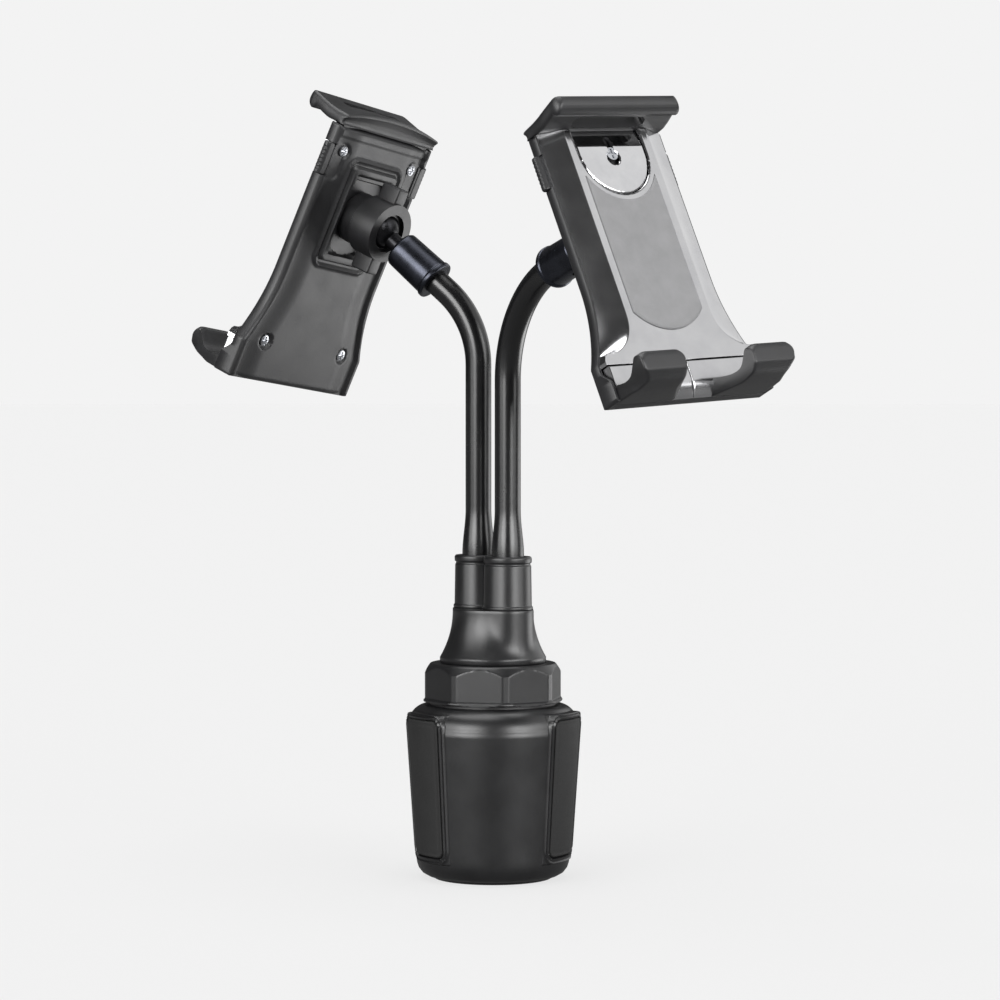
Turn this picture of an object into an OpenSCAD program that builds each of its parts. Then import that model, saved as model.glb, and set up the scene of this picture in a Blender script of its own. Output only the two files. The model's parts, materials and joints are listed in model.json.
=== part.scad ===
// Two-armed cup-holder mount for a phone and a tablet: an expanding cup base with a turn-knob,
// two bendable necks, and a ball-jointed clamping cradle on each neck.
// Millimetres, Z up, origin at the centre of the underside.

/* [Cup base] */
// Outer radius of the body at its shoulder
body_r = 34.2; // [33.6:0.1:35]
// Height of the body's top deck
body_h = 69; // [68.5:0.1:69]
// Thickness of the body's wall
wall = 2.4; // [2:0.1:2.6]
// Half angle that each rubber pad covers, in degrees
pad_half = 18.5; // [14:0.5:20]
// How far the pads stand proud of the body when closed
pad_proud = 0.8; // [0.4:0.1:1.2]

/* [Knob] */
// Radius of the eight-sided knob over its corners
knob_r = 27; // [26:0.5:29]
// Height of the knob's top face
knob_top = 85.5; // [84:0.1:85.6]
// Radius of the scroll slot where a closed jaw's pin sits
scroll_start = 12.6; // [12.6:0.1:13]
// How far a pin moves out for each degree that the knob turns
scroll_lead = 0.1; // [0.08:0.01:0.1]

/* [Necks] */
// Half the distance between the two necks
neck_gap = 9.65; // [9.65:0.05:10.5]
// Plan angle of the line through both necks, in degrees
neck_line = -53; // [-58:1:-48]
// Outer radius of the rubber sleeve
sleeve_r = 5.15; // [4.9:0.05:5.15]
// Height at which the necks bend
bend_z = 170; // [165:1:175]
// Left neck: direction, start of the curve, radius of the curve, angle of the curve, straight end
left_path = [158, 203.4, 39, 49, 39.4];
// Right neck: the same five values
right_path = [-57.7, 197.5, 44.8, 72.2, 34.7];

/* [Cradles] */
// Left cradle: turn, tilt back and roll, in degrees
left_pose = [-127.6, -22.6, -6.9];
// Right cradle: the same three values
right_pose = [37.2, -24.5, -3.8];
// Half width of the cradle at its waist
waist = 31; // [30:0.5:32]
// Extra half width at its foot
flare = 7.8; // [6:0.2:8]
// Top edge of the shells, above the ball
shell_top = 34.5; // [34:0.1:35]
// Bottom edge of the shells, below the ball
shell_bottom = -75; // [-76:0.5:-75]
// Radius of the ball
ball_r = 8; // [7.9:0.05:8]

/* [Hidden] */
$fn = 64;
eps = 0.01;
jaw_angles = [-147, -27, 93];
deck = 2.6;
frame_half = pad_half + 5.3;
window_half = frame_half + 0.5;
cam_z = 60.6;
cam_t = 4;
post_r = 9.4;
post_bore = 6.1;
spider_z = 50;
spider_h = 10;
hub_r = 13;
pin_r = 2;
tongue_w = 10;
cowl_z = 86;
cowl_top = 107;
ferrule_top = 128;
core_r = 3.1;
bend_gap = 2.6;
collar_front = 12;
collar_rear = 32.9;
lug_r = 18.2;
back_y = -12.5;
rim_y = -17;
front_y = -22;
seam_z = shell_bottom + 14;
button_z = 13;
button_h = 13.5;
screw_spots = [[22.7, 24.2], [-22.7, 24.2], [25.2, -58], [-25.2, -58]];
black = [0.10, 0.10, 0.11];
dark = [0.16, 0.16, 0.17];
rubber = [0.07, 0.07, 0.07];
silver = [0.78, 0.78, 0.79];
grey = [0.60, 0.60, 0.61];
steel = [0.68, 0.69, 0.71];
navy = [0.20, 0.22, 0.27];

// ---- shared shapes ----

// Radius of the body's outer cone at height z
function body_rad(z) = body_r - (62 - z) * 0.0685;

// Points of an arc round (x, y)
function arc(x, y, r, a0, a1, n) =
    [for (i = [0:n]) [x + r * cos(a0 + (a1 - a0) * i / n), y + r * sin(a0 + (a1 - a0) * i / n)]];

// A sector of a turned profile, centred on angle 0
module sector(half) {
    rotate([0, 0, -half])
        rotate_extrude(angle = 2 * half, $fn = 96)
            children();
}

// A bar that points outwards along +X
module radial_bar(r0, r1, w, z0, z1) {
    translate([r0, -w / 2, z0])
        cube([r1 - r0, w, z1 - z0]);
}

module tube(ro, ri, h) {
    difference() {
        cylinder(r = ro, h = h);
        translate([0, 0, -eps])
            cylinder(r = ri, h = h + 2 * eps);
    }
}

// An M3 x 11 pan-head screw, head down, with its tip at the top
module m3_screw() {
    cylinder(r = 2.8, h = 2.4, $fn = 32);
    cylinder(r = 1.4, h = 13.4, $fn = 32);
}

// ---- cup base ----

module cup_body() {
    outer = concat([[24.6, 1]], arc(23.6, 8, 7.1, -62, -4, 4), [[body_rad(8.6), 8.6], [body_r, 62], [body_r, 64.6]],
        arc(body_r - 4.2, 64.8, 4.2, 4, 78, 4), [[hub_r + 0.3, body_h]]);
    inner = [[hub_r + 0.3, body_h - deck], [body_r - 3.6, body_h - deck], [body_r - wall, 63],
        [body_rad(9) - wall, 9], [24.6, 3.2]];
    color(dark)
    difference() {
        union() {
            rotate_extrude($fn = 96)
                polygon(concat(outer, inner));
            for (a = jaw_angles)
                rotate([0, 0, a + 60])
                    screw_posts();
        }
        for (a = jaw_angles)
            rotate([0, 0, a])
                jaw_window();
        for (a = jaw_angles)
            rotate([0, 0, a + 60]) {
                translate([20, 0, 18])
                    cylinder(r = 1.45, h = 10.4, $fn = 32);
                translate([26.5, 0, 42])
                    cylinder(r = 1.45, h = 9, $fn = 32);
            }
    }
}

// The two screw bosses on the wall between two jaws
module screw_posts() {
    translate([20, 0, 19.2])
        cylinder(r = 3.4, h = 12.8, $fn = 32);
    radial_bar(20, body_rad(20) - 1, 2.4, 19.2, 32);
    translate([26.5, 0, 40])
        cylinder(r = 3.4, h = 9.9, $fn = 32);
    radial_bar(26.5, body_rad(40) - 1, 6, 40, 49.9);
}

// The opening that a jaw slides through
module jaw_window() {
    far = 50;
    translate([0, 0, 9.6])
        linear_extrude(54.8)
            polygon([[22, -22 * tan(window_half)], [far, -far * tan(window_half)],
                [far, far * tan(window_half)], [22, 22 * tan(window_half)]]);
}

module base_cap() {
    color(black)
    difference() {
        union() {
            rotate_extrude($fn = 96)
                polygon([[0, 0], [23.4, 0], [24.5, 1], [24.5, 3.1], [0, 3.1]]);
            cylinder(r = 23, h = 19);
        }
        translate([0, 0, 5])
            cylinder(r = 11, h = 15);
        for (a = jaw_angles) {
            rotate([0, 0, a])
                radial_bar(8, 26, tongue_w + 0.4, 13.8, 20);
            rotate([0, 0, a + 60])
                translate([20, 0, -eps]) {
                    cylinder(r = 3.1, h = 15.01, $fn = 32);
                    cylinder(r = 1.5, h = 20, $fn = 32);
                }
        }
    }
}

module body_screws() {
    color(steel)
    for (a = jaw_angles)
        rotate([0, 0, a + 60]) {
            translate([20, 0, 12.6])
                m3_screw();
            translate([26.5, 0, 59.6])
                rotate([180, 0, 0])
                    m3_screw();
        }
}

// The fixed spider that guides the jaws, with the hollow column that carries the necks
module jaw_spider() {
    color(black)
    difference() {
        union() {
            translate([0, 0, spider_z])
                difference() {
                    cylinder(r = body_rad(50) - wall - 0.1, h = spider_h, $fn = 96);
                    for (a = jaw_angles)
                        rotate([0, 0, a])
                            translate([27.5, -30, -eps])
                                cube([20, 60, spider_h + 1]);
                }
            cylinder(r = post_r, h = cowl_z);
        }
        translate([0, 0, -eps])
            cylinder(r = post_r + 1, h = spider_z + eps);
        translate([0, 0, spider_z + 4])
            cylinder(r = post_bore, h = 60);
        translate([0, 0, spider_z - 1])
            cylinder(r = 2.6, h = 10, $fn = 32);
        for (a = jaw_angles) {
            rotate([0, 0, a])
                radial_bar(post_r + 0.1, 32, tongue_w + 0.4, 55, 62);
            rotate([0, 0, a + 60])
                translate([26.5, 0, spider_z - 1]) {
                    cylinder(r = 1.5, h = 20, $fn = 32);
                    translate([0, 0, 8.1])
                        cylinder(r = 3.1, h = 10, $fn = 32);
                }
        }
    }
}

module post_screw() {
    color(steel) {
        translate([0, 0, spider_z - 3.6])
            cylinder(r = 4.4, h = 3.6, $fn = 32);
        translate([0, 0, spider_z])
            cylinder(r = 2.4, h = 22, $fn = 32);
    }
}

// ---- knob and jaws ----

// One spiral slot of the scroll, a band either side of an Archimedean curve
module scroll_slot() {
    half = pin_r + 0.3;
    turn = 112;
    function at(a, side) = let (r = scroll_start + scroll_lead * a + side * half) [r * cos(-a), r * sin(-a)];
    translate([0, 0, -1])
        linear_extrude(cam_t + 2)
            union() {
                polygon(concat([for (a = [0:4:turn]) at(a, -1)], [for (a = [turn:-4:0]) at(a, 1)]));
                translate([scroll_start, 0])
                    circle(r = half, $fn = 32);
                rotate(-turn)
                    translate([scroll_start + scroll_lead * turn, 0])
                        circle(r = half, $fn = 32);
            }
}

module scroll_cam() {
    color(steel)
    difference() {
        union() {
            translate([0, 0, cam_z])
                difference() {
                    cylinder(r = 28.6, h = cam_t, $fn = 96);
                    for (a = jaw_angles)
                        rotate([0, 0, a])
                            scroll_slot();
                }
            translate([0, 0, cam_z + cam_t])
                cylinder(r = hub_r, h = 80 - cam_z - cam_t);
        }
        translate([0, 0, cam_z - 1])
            cylinder(r = post_r + 0.1, h = 30);
    }
}

module knob() {
    color(dark)
    difference() {
        intersection() {
            translate([0, 0, body_h + 1])
                rotate([0, 0, 10])
                    cylinder(r = knob_r, h = knob_top - body_h - 1, $fn = 8);
            union() {
                translate([0, 0, body_h])
                    cylinder(r1 = knob_r - 1.2, r2 = knob_r + 1, h = 2.2);
                translate([0, 0, body_h + 2.2])
                    cylinder(r = knob_r + 1, h = knob_top - body_h - 6.4);
                translate([0, 0, knob_top - 4.2])
                    cylinder(r1 = knob_r + 1, r2 = knob_r - 3, h = 4.2 + eps);
            }
        }
        translate([0, 0, body_h])
            cylinder(r = hub_r + 0.05, h = 11.1);
        translate([0, 0, body_h])
            tube(22.5, 16, 13.5);
        translate([0, 0, body_h])
            cylinder(r = post_r + 0.1, h = 20);
    }
}

module knob_washer() {
    color([0.85, 0.85, 0.83])
        translate([0, 0, body_h])
            tube(25, hub_r + 0.3, 0.9);
}

// A jaw's curved plate, its two guide tongues and the pin that rides in the scroll
module jaw(i) {
    proud = 0.3;
    color(dark)
    rotate([0, 0, jaw_angles[i]])
    difference() {
        union() {
            sector(frame_half)
                polygon([[body_rad(10) + proud, 10], [body_rad(62) + proud, 62], [body_rad(62) + proud, 64],
                    [body_r - 2.3, 64], [body_rad(10) - 2.3, 10]]);
            radial_bar(post_r + 0.2, body_rad(57) - 2, tongue_w, 55.2, 59.8);
            radial_bar(11.6, body_rad(16) - 2, tongue_w, 14, 18);
            translate([scroll_start, 0, 59])
                cylinder(r = pin_r, h = 5, $fn = 32);
        }
        sector(pad_half)
            polygon([[body_rad(13) - 0.9, 13], [body_rad(13) + 3, 13], [body_rad(61) + 3, 61],
                [body_rad(61) - 0.9, 61]]);
    }
}

module pad(i) {
    color(rubber)
    rotate([0, 0, jaw_angles[i]])
        sector(pad_half)
            polygon([[body_rad(13) - 0.9, 13], [body_rad(13) + pad_proud, 13],
                [body_rad(61) + pad_proud, 61], [body_rad(61) - 0.9, 61]]);
}

// ---- neck roots ----

module neck_spot(side) {
    rotate([0, 0, neck_line])
        translate([side * neck_gap, 0, 0])
            children();
}

module neck_cowl() {
    skirt = 1.6;
    rise = cowl_top - cowl_z - skirt;
    flare_points = [for (i = [0:7]) let (t = i / 7) [10.5 + 4.8 * pow(1 - t, 2), cowl_z + skirt + rise * t]];
    color(dark)
    difference() {
        union() {
            for (side = [-1, 1])
                neck_spot(side)
                    rotate_extrude()
                        polygon(concat([[0, cowl_z], [15.3, cowl_z]], flare_points, [[0, cowl_top]]));
            translate([0, 0, spider_z + 4.2])
                cylinder(r = post_bore - 0.1, h = cowl_z - spider_z);
        }
        for (side = [-1, 1])
            neck_spot(side) {
                translate([0, 0, 96])
                    cylinder(r = 6.5, h = 12);
                translate([0, 0, 90])
                    cylinder(r = core_r + 0.1, h = 10);
            }
        translate([0, 0, spider_z])
            cylinder(r = 2.4, h = 22, $fn = 32);
    }
}

module ferrule(side) {
    h = ferrule_top - cowl_top;
    color(dark)
    neck_spot(side)
        translate([0, 0, cowl_top])
            rotate_extrude()
                polygon([[6.5, 0], [9.6, 0], [9.25, h - 3.4], [8.9, h - 3.2], [8.9, h - 2.7], [9.5, h - 2.4],
                    [9.5, h - 0.5], [9.1, h], [6.5, h]]);
}

module sleeve_low(side) {
    color(black)
    neck_spot(side)
        rotate_extrude()
            polygon([[core_r, 96], [6.5, 96], [6.5, 128.6], [6, 134], [sleeve_r, 144],
                [sleeve_r, bend_z - bend_gap / 2], [core_r, bend_z - bend_gap / 2]]);
}

module core_low(side) {
    color(steel)
    neck_spot(side)
        translate([0, 0, 90])
            cylinder(r = core_r, h = bend_z - bend_gap / 2 - 90);
}

// ---- upper necks: straight, a curve of one radius, then straight to the ball ----

// The straight lengths are a hair thinner than the curve, so that they overlap it cleanly
module neck_rod(path, r, stop, extra = 0) {
    top = path[1];
    rad = path[2];
    turn = path[3];
    low = bend_z + bend_gap / 2 - extra;
    step = 0.04;
    translate([0, 0, low])
        cylinder(r = r - step, h = top - low + 1);
    translate([rad, 0, top])
        rotate([90, 0, 0])
            rotate([0, 0, 180 - turn])
                rotate_extrude(angle = turn, $fn = 96)
                    translate([rad, 0])
                        circle(r = r, $fn = 48);
    translate([rad * (1 - cos(turn)), 0, top + rad * sin(turn)])
        rotate([0, turn, 0])
            translate([0, 0, -1])
                cylinder(r = r - step, h = path[4] - stop + 1 + extra);
}

module in_neck(side, path) {
    neck_spot(side)
        rotate([0, 0, path[0] - neck_line])
            children();
}

// Frame at the ball with +Z along the end of the neck
module at_ball(side, path) {
    reach = path[2] * (1 - cos(path[3])) + path[4] * sin(path[3]);
    rise = path[1] + path[2] * sin(path[3]) + path[4] * cos(path[3]);
    in_neck(side, path)
        translate([reach, 0, rise])
            rotate([0, path[3], 0])
                children();
}

// Frame of a cradle: ball at the origin, -Y to the phone, +Z up along the cradle
module at_cradle(side, path, pose) {
    at_ball(side, path)
        rotate([0, -path[3], 0])
            rotate([0, 0, -path[0]])
                rotate([0, 0, pose[0]])
                    rotate([pose[1], 0, 0])
                        rotate([0, pose[2], 0])
                            children();
}

module sleeve_high(side, path) {
    color(black)
    in_neck(side, path)
        difference() {
            neck_rod(path, sleeve_r, 24);
            neck_rod(path, core_r, 24, 1);
        }
}

module core_high(side, path) {
    color(steel)
    in_neck(side, path)
        neck_rod(path, core_r, 24);
}

module collar(side, path) {
    color(navy)
    at_ball(side, path)
        difference() {
            rotate_extrude()
                polygon([[3.7, -collar_front], [6.7, -collar_front], [7.5, -collar_front - 0.8],
                    [8, -collar_rear + 2.2], [8.45, -collar_rear + 1.7], [8.45, -collar_rear + 0.4],
                    [8, -collar_rear], [5.2, -collar_rear], [5.2, -collar_front - 2.4],
                    [3.7, -collar_front - 2.4]]);
            translate([0, 0, -18.5])
                rotate([0, 90, 0])
                    cylinder(r = 1.5, h = 12, $fn = 32);
        }
}

module collar_screw(side, path) {
    color(steel)
    at_ball(side, path)
        translate([5.15, 0, -18.5])
            rotate([0, 90, 0])
                difference() {
                    cylinder(r = 1.5, h = 1.7, $fn = 32);
                    translate([0, 0, 0.9])
                        cylinder(r = 0.8, h = 1, $fn = 6);
                }
}

module ball_stud(side, path) {
    color(steel)
    at_ball(side, path) {
        sphere(r = ball_r, $fn = 64);
        translate([0, 0, -collar_front - 3])
            cylinder(r = 3.5, h = collar_front + 3);
        translate([0, 0, -23.9])
            cylinder(r = 5.1, h = 9.4);
    }
}

// ---- ball socket ----

// Turns +Z to point at the phone
module to_front() {
    rotate([90, 0, 0])
        children();
}

module ball_liner() {
    color([0.75, 0.75, 0.72])
    to_front()
        difference() {
            sphere(r = ball_r + 1.5);
            sphere(r = ball_r + 0.05);
            translate([-15, -15, -24.2])
                cube([30, 30, 20]);
            translate([-15, -15, 6.5])
                cube([30, 30, 20]);
        }
}

module ring_nut() {
    color(dark)
    to_front()
        difference() {
            union() {
                translate([0, 0, -6])
                    cylinder(r = 12.2, h = 11.6);
                for (a = [90, 270])
                    rotate([0, 0, a])
                        translate([10, -3.2, -5])
                            cube([lug_r - 10, 6.4, 9.4]);
            }
            sphere(r = ball_r + 1.6);
            translate([0, 0, 0.3])
                cylinder(r = 10.9, h = 6);
            translate([0, 0, -7])
                cylinder(r = 8, h = 4);
        }
}

// ---- cradle ----

// Half width of the shells at height z
function half_width(z) = let (s = min(max((-27 - z) / 32, 0), 1)) waist + flare * s * s;

// Half width of the flat of the front plate
function flat_width(z) = let (t = min(max((-40 - z) / 19, 0), 1)) 20.5 + 17.5 * t * t;

// Outline points of a cradle plate between two heights, both sides, as (x, z)
function side_points(z0, z1, inset) =
    let (n = 14) [for (i = [0:n]) let (z = z0 + (z1 - z0) * i / n) [half_width(z) - inset, z]];
function plate_outline(z0, z1, inset) =
    let (p = side_points(z0, z1, inset)) concat(p, [for (i = [len(p) - 1:-1:0]) [-p[i][0], p[i][1]]]);
function flat_outline(z0, z1) =
    let (n = 12, p = [for (i = [0:n]) let (z = z0 + (z1 - z0) * i / n) [flat_width(z), z]])
    concat(p, [for (i = [n:-1:0]) [-p[i][0], p[i][1]]]);

// Extrudes an (x, z) outline from y0 forwards to y1, where y1 < y0
module plate(y0, y1) {
    translate([0, y0, 0])
        rotate([90, 0, 0])
            linear_extrude(y0 - y1)
                children();
}

// The tongue's outline, a bar with a half-round end
module tongue_outline(r, top) {
    centre = 24.2;
    intersection() {
        union() {
            translate([0, centre])
                circle(r = r);
            translate([-r, centre])
                square([2 * r, 20]);
        }
        translate([-r - 1, centre - r - 1])
            square([2 * r + 2, top - centre + r + 1]);
    }
}

module back_shell() {
    inner_y = back_y - 2;
    color(dark)
    difference() {
        union() {
            plate(back_y, rim_y)
                polygon(plate_outline(shell_bottom, shell_top, 0));
            plate(back_y + 1.5, back_y - 0.1)
                difference() {
                    square([33, 45], center = true);
                    square([28, 40], center = true);
                }
            to_front()
                translate([0, 0, 0.6])
                    cylinder(r = 10.6, h = 12);
        }
        plate(inner_y, rim_y - 1)
            difference() {
                polygon(plate_outline(seam_z, shell_top - 2, 2));
                for (sx = [-1, 1])
                    translate([sx * 19.2 - 1, 16])
                        square([2, 3.2]);
            }
        plate(inner_y, rim_y - 1)
            polygon(plate_outline(shell_bottom + 2, seam_z - 2, 2));
        plate(inner_y, rim_y - 1)
            translate([-15, 0])
                square([30, shell_top + 1]);
        for (sx = [-1, 1])
            translate([sx > 0 ? 25.2 : -36, rim_y - 1, button_z - 0.2])
                cube([10.8, back_y - rim_y + 0.3, button_h + 0.4]);
        to_front()
            sphere(r = ball_r + 1.6);
        for (p = screw_spots)
            translate([p[0], 0, p[1]])
                to_front() {
                    translate([0, 0, 12])
                        cylinder(r = 3, h = 1.7, $fn = 32);
                    translate([0, 0, 12])
                        cylinder(r = 1.4, h = 3, $fn = 32);
                }
    }
}

module shell_screws() {
    color(steel)
    for (p = screw_spots)
        translate([p[0], 0, p[1]])
            to_front() {
                translate([0, 0, 12.7])
                    cylinder(r = 2.7, h = 1, $fn = 32);
                translate([0, 0, 12.7])
                    cylinder(r = 1.2, h = 6.6, $fn = 32);
            }
}

module front_plate() {
    inner_y = front_y + 1.8;
    color(silver)
    difference() {
        union() {
            plate(inner_y, front_y)
                polygon(flat_outline(seam_z + 0.2, shell_top));
            intersection() {
                plate(rim_y + 1, front_y)
                    polygon(plate_outline(seam_z + 0.2, shell_top, 0));
                for (m = [0, 1])
                    mirror([m, 0, 0])
                        translate([0, 0, seam_z])
                            linear_extrude(shell_top - seam_z)
                                polygon([[20, front_y], [20.5, front_y], [waist, rim_y - 0.1],
                                    [42, rim_y - 0.1], [42, rim_y], [waist - 2, rim_y], [20, inner_y]]);
            }
            for (p = screw_spots)
                translate([p[0], 0, p[1]])
                    to_front()
                        translate([0, 0, -back_y + 2.1])
                            cylinder(r = 2.6, h = (abs(p[0]) > 24 ? 6.5 : 5.5), $fn = 32);
        }
        plate(inner_y + 1, front_y - 1)
            tongue_outline(16.7, shell_top + 1);
        for (p = screw_spots)
            translate([p[0], 0, p[1]])
                to_front()
                    translate([0, 0, 12])
                        cylinder(r = 1.2, h = 7.4, $fn = 32);
    }
}

module grip_pad() {
    low = -38;
    color(grey)
    plate(front_y, front_y - 0.7)
        difference() {
            union() {
                translate([-16.9, low])
                    square([33.8, 24.2 - low]);
                intersection() {
                    translate([0, low + 11.5])
                        circle(r = 22);
                    translate([-16.9, -60])
                        square([33.8, 40]);
                }
            }
            tongue_outline(19.2, 40);
        }
}

// A foot: the silver-faced block under the seam and the lip that holds the phone's lower edge
module foot(m) {
    color(black)
    mirror([m, 0, 0]) {
        plate(rim_y - 0.02, front_y)
            intersection() {
                polygon(plate_outline(shell_bottom, seam_z, 0.3));
                translate([0.15, shell_bottom])
                    square([50, seam_z - shell_bottom]);
            }
        translate([16.6, 0, 0])
            rotate([90, 0, 90])
                linear_extrude(21.2)
                    polygon([[front_y + 0.5, -69.2], [-28, -70.8], [-33.5, -69.8], [-36.8, -66],
                        [-38.8, -64], [-40.8, -65], [-41.2, -67], [-38, -72.8], [-30, -74.3],
                        [front_y + 0.5, shell_bottom]]);
    }
}

module button(m) {
    color(black)
    mirror([m, 0, 0]) {
        translate([27.2, -16.7, button_z])
            cube([5.4, 3.3, button_h]);
        translate([16.3, -16.7, button_z + 0.5])
            cube([11, 2, 2.4]);
    }
}

module button_springs() {
    color(steel)
    for (m = [0, 1])
        mirror([m, 0, 0])
            translate([20.3, -15.8, 17.6])
                rotate([0, 90, 0])
                    tube(1.25, 0.8, 5);
}

module hook() {
    stem_y = -14.9;
    color(black)
    difference() {
        union() {
            intersection() {
                translate([-waist, 0, 0])
                    rotate([90, 0, 90])
                        linear_extrude(2 * waist)
                            polygon([[back_y - 0.1, 34.7], [back_y - 0.1, 38], [-17, 39], [-33.2, 42.4],
                                [-34.6, 41.4], [-34.2, 37.4], [-31.2, 35.2], [-29.4, 36.6], [-22.2, 34.7]]);
                translate([0, 0, 30])
                    linear_extrude(16)
                        polygon([[-waist, -12], [waist, -12], [waist, -31], [28.5, -35], [-28.5, -35],
                            [-waist, -31]]);
            }
            plate(stem_y, stem_y - 2.4)
                translate([-14.5, -30])
                    square([29, 65.5]);
            plate(stem_y - 2, -20.3)
                tongue_outline(14.5, 35.5);
        }
        translate([0, -25.4, 30])
            linear_extrude(20)
                union() {
                    square([30, 5.2], center = true);
                    for (s = [-1, 1])
                        translate([s * 15, 0])
                            circle(r = 2.6);
                }
        translate([0, -14, 24.5])
            rotate([90, 0, 0])
                cylinder(r = 1.3, h = 10, $fn = 32);
        rack();
    }
}

// Notches down both edges of the stem, for the buttons' pawls
module rack() {
    pitch = 4;
    for (s = [-1, 1])
        for (i = [0:13])
            translate([s * 14.5, -18, -28 + i * pitch])
                rotate([-90, 0, 0])
                    cylinder(r = 0.9, h = 4, $fn = 4);
}

module tongue() {
    color(silver)
    plate(-20.35, front_y + 0.1)
        difference() {
            tongue_outline(16.3, 34.6);
            translate([0, 24.5])
                circle(r = 2.9);
            translate([-1.2, 24.5])
                square([2.4, 7.5]);
            translate([0, 32])
                circle(r = 1.2, $fn = 32);
        }
}

module tongue_screw() {
    color(steel)
    translate([0, -20.35, 24.5])
        rotate([90, 0, 0])
            difference() {
                union() {
                    cylinder(r = 2.6, h = 1.2, $fn = 32);
                    translate([0, 0, -4.4])
                        cylinder(r = 1.25, h = 4.5, $fn = 32);
                }
                translate([-0.4, -2, 0.7])
                    cube([0.8, 4, 1]);
                translate([-2, -0.4, 0.7])
                    cube([4, 0.8, 1]);
            }
}

module on_left() {
    at_cradle(-1, left_path, left_pose)
        children();
}

module on_right() {
    at_cradle(1, right_path, right_pose)
        children();
}

cup_body();
base_cap();
body_screws();
jaw_spider();
post_screw();
knob_washer();
neck_cowl();
ferrule(-1);  // ferrule_left
ferrule(1);  // ferrule_right
knob();
scroll_cam();
jaw(0);  // jaw_1
jaw(1);  // jaw_2
jaw(2);  // jaw_3
pad(0);  // pad_1
pad(1);  // pad_2
pad(2);  // pad_3
sleeve_low(-1);  // left_sleeve_low
core_low(-1);  // left_core_low
sleeve_high(-1, left_path);  // left_sleeve_high
core_high(-1, left_path);  // left_core_high
collar(-1, left_path);  // left_collar
collar_screw(-1, left_path);  // left_collar_screw
ball_stud(-1, left_path);  // left_ball_stud
on_left() ball_liner();  // left_ball_liner
on_left() ring_nut();  // left_ring_nut
on_left() back_shell();  // left_back_shell
on_left() shell_screws();  // left_shell_screws
on_left() front_plate();  // left_front_plate
on_left() grip_pad();  // left_grip_pad
on_left() foot(0);  // left_foot_a
on_left() foot(1);  // left_foot_b
on_left() button_springs();  // left_button_springs
on_left() button(0);  // left_button_a
on_left() button(1);  // left_button_b
on_left() hook();  // left_hook
on_left() tongue();  // left_tongue
on_left() tongue_screw();  // left_tongue_screw
sleeve_low(1);  // right_sleeve_low
core_low(1);  // right_core_low
sleeve_high(1, right_path);  // right_sleeve_high
core_high(1, right_path);  // right_core_high
collar(1, right_path);  // right_collar
collar_screw(1, right_path);  // right_collar_screw
ball_stud(1, right_path);  // right_ball_stud
on_right() ball_liner();  // right_ball_liner
on_right() ring_nut();  // right_ring_nut
on_right() back_shell();  // right_back_shell
on_right() shell_screws();  // right_shell_screws
on_right() front_plate();  // right_front_plate
on_right() grip_pad();  // right_grip_pad
on_right() foot(0);  // right_foot_a
on_right() foot(1);  // right_foot_b
on_right() button_springs();  // right_button_springs
on_right() button(0);  // right_button_a
on_right() button(1);  // right_button_b
on_right() hook();  // right_hook
on_right() tongue();  // right_tongue
on_right() tongue_screw();  // right_tongue_screw
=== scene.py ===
# Two-armed cup-holder mount: visible pieces, finishes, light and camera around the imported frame.
import json
import math
import bmesh
import bpy
import numpy as np
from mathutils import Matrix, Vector


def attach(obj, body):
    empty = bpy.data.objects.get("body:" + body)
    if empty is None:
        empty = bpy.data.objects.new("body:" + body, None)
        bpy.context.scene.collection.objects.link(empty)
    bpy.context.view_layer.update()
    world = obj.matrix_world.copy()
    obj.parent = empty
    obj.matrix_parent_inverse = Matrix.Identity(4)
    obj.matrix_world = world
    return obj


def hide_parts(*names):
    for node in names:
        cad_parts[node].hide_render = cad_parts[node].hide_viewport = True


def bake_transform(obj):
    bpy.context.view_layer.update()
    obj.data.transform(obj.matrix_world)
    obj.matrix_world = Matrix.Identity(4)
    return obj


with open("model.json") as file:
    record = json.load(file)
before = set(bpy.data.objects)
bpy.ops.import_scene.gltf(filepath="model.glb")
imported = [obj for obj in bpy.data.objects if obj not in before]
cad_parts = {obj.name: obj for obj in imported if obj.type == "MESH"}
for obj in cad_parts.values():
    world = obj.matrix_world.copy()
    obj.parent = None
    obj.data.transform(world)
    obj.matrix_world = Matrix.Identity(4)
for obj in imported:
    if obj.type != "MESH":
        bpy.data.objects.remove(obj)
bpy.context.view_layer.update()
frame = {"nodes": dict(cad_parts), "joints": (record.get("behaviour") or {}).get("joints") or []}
joints = {j["name"]: j for j in frame["joints"]}
mm = 0.001
tau = 2 * math.pi

# Camera
view = {"place": (0, -1.3, 0.192), "pitch": 88.15, "lens": 118, "sensor": 36, "shift": 0.007}
cameraData = bpy.data.cameras.new("camera")
cameraData.lens = view["lens"]
cameraData.sensor_width = view["sensor"]
cameraData.shift_x = view["shift"]
camera = bpy.data.objects.new("camera", cameraData)
camera.location = view["place"]
camera.rotation_euler = (math.radians(view["pitch"]), 0, 0)
bpy.context.scene.collection.objects.link(camera)
bpy.context.scene.camera = camera


# Mesh tools
# 0 below a, 1 above b, an S-curve between
def ramp(x, a, b):
    t = np.clip((x - a) / (b - a), 0, 1)
    return t * t * (3 - 2 * t)


# Depth of a quarter-round edge of radius r at distance d in from the edge: r less the height of the circle there
def edgeDrop(d, r):
    return r - np.sqrt(np.clip(r * r - (r - np.clip(d, 0, r)) ** 2, 0, None))


# Distance to a box with rounded corners, below 0 inside
def roundBox(x, y, halfX, halfY, r):
    qx, qy = np.abs(x) - halfX + r, np.abs(y) - halfY + r
    return np.hypot(np.maximum(qx, 0), np.maximum(qy, 0)) + np.minimum(np.maximum(qx, qy), 0) - r


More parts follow.
